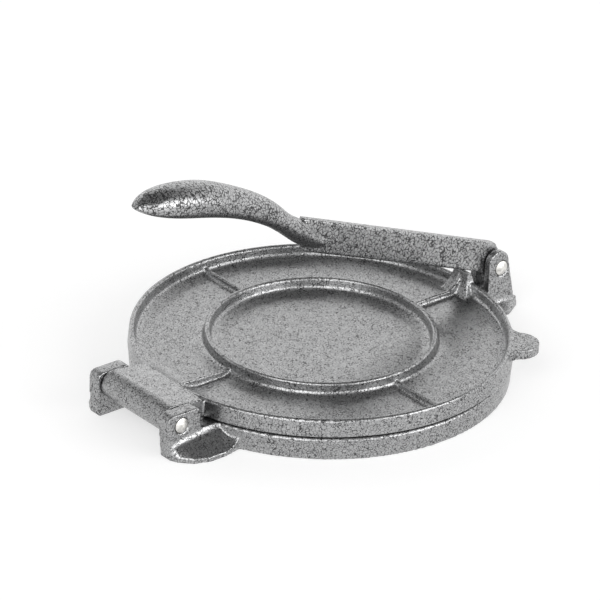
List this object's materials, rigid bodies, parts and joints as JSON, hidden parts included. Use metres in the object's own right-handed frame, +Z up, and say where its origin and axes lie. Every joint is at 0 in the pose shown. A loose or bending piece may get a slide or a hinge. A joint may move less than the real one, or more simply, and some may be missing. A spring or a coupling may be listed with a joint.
{
  "type": "patty press",
  "caption": "Hand press with hinged round plates: a ribbed lid with a lift tab and a lug, borne down on by a long lever with a swelling grip pinned between the ears of the base.",
  "frame": {"origin": "on the pressing axis, at the middle of the round plates, on the plane that the base stands on", "axes": "+Z up along the pressing axis, +X from the hinge towards the lever's bracket; at rest the lever lies over the lid with its grip towards -X"},
  "size_m": [0.2549, 0.2, 0.1339],
  "materials": {
    "hammered_paint": "silver-grey hammered paint, semi-gloss, over rough cast iron",
    "pin_steel": "plain bright steel"
  },
  "bodies": {
    "base": {"base_plate": "hammered_paint", "hinge_pin": "pin_steel", "lever_pin": "pin_steel"},
    "lid": {"lid_plate": "hammered_paint"},
    "lever": {"lever_handle": "hammered_paint"}
  },
  "joints": [
    {"name": "lever_pivot", "type": "hinge", "parent": "base", "child": "lever", "pos_m": [0.1181, 0, 0.0254], "axis": [0, 1, 0], "range_deg": [0, 158]},
    {"name": "lid_hinge", "type": "hinge", "parent": "base", "child": "lid", "pos_m": [-0.1166, 0, 0.0173], "axis": [0, -1, 0], "range_deg": [0, 15.8]}
  ],
  "couplings": [
    {"joint": "lid_hinge", "follows": "lever_pivot", "ratio": 0.1}
  ]
}
